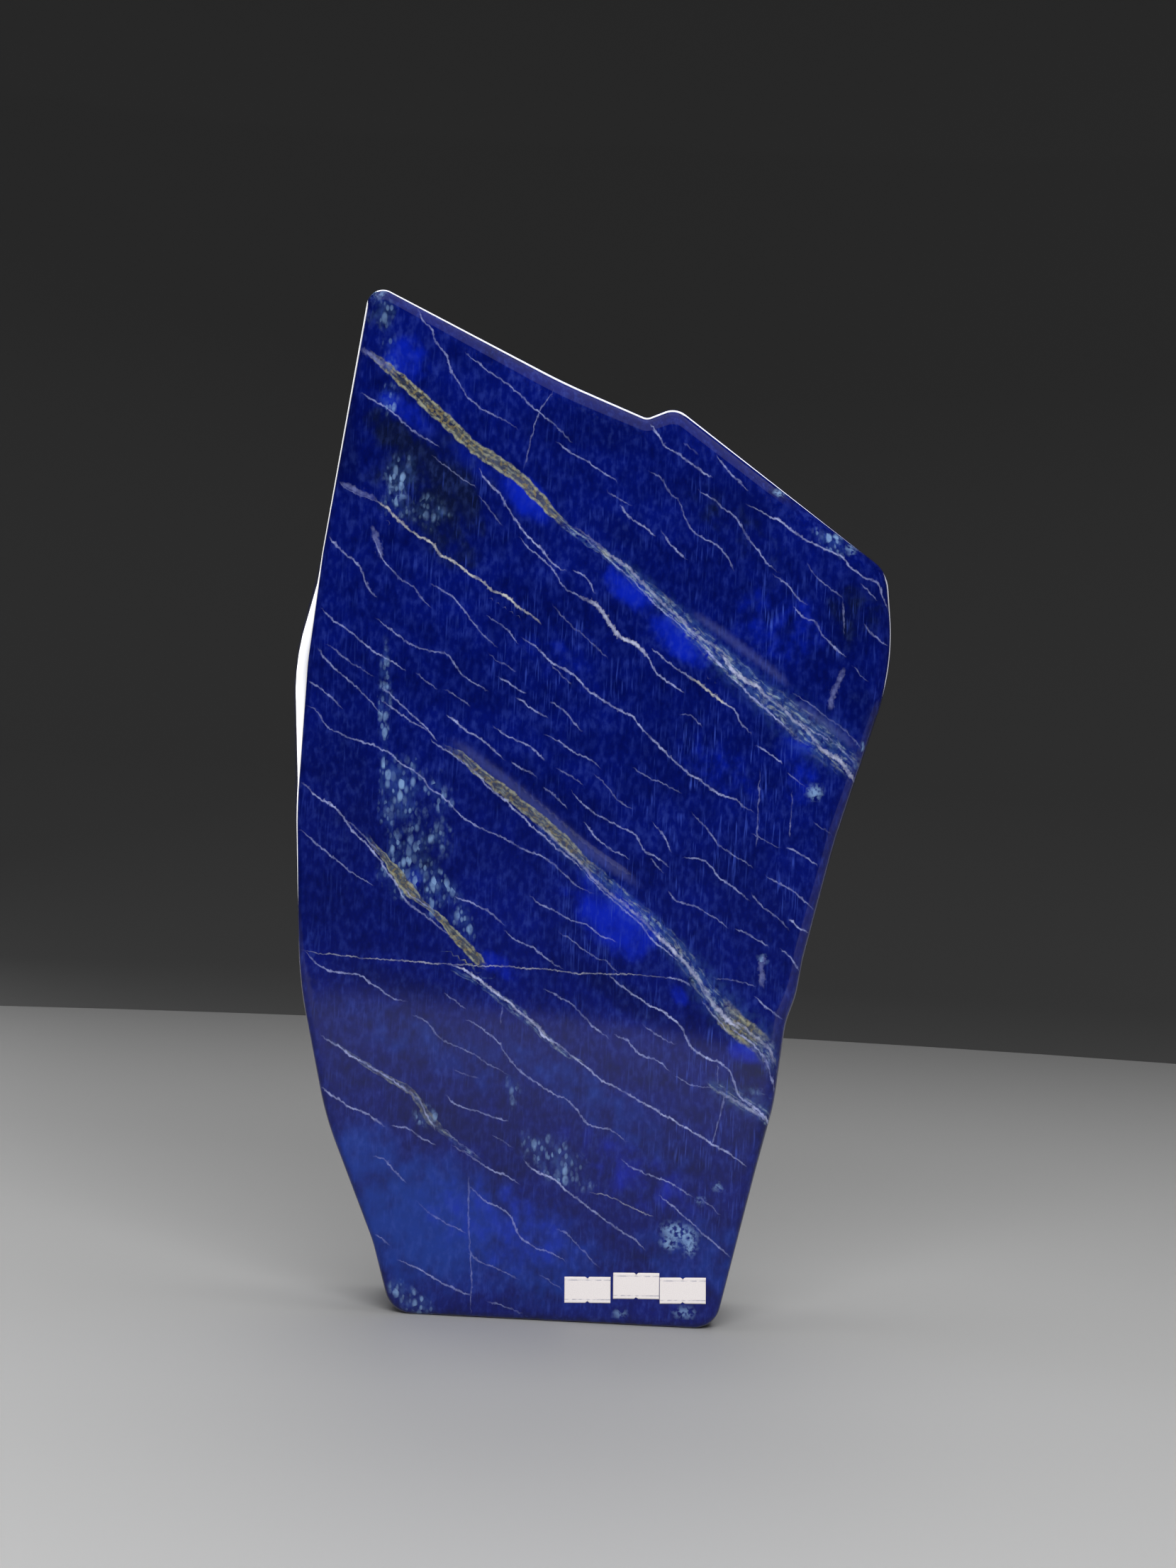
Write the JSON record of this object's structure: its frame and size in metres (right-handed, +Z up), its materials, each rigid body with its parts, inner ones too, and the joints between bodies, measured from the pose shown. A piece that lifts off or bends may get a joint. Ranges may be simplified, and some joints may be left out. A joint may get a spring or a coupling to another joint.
{
  "type": "polished lapis lazuli freeform",
  "caption": "Tall polished slab of veined lapis lazuli with a pointed top and a flat sawn base, with small blank paper labels near its foot.",
  "frame": {"origin": "on the surface it stands on, under the middle of its box", "axes": "+Z up, +Y from the polished front face towards the back, +X to the right as seen from the front"},
  "size_m": [0.2736, 0.0888, 0.4646],
  "materials": {
    "polished_lapis": "polished",
    "label_paper": "matte"
  },
  "bodies": {
    "root": {"stone": "polished_lapis", "label_left": "label_paper", "label_middle": "label_paper", "label_right": "label_paper"}
  },
  "joints": []
}
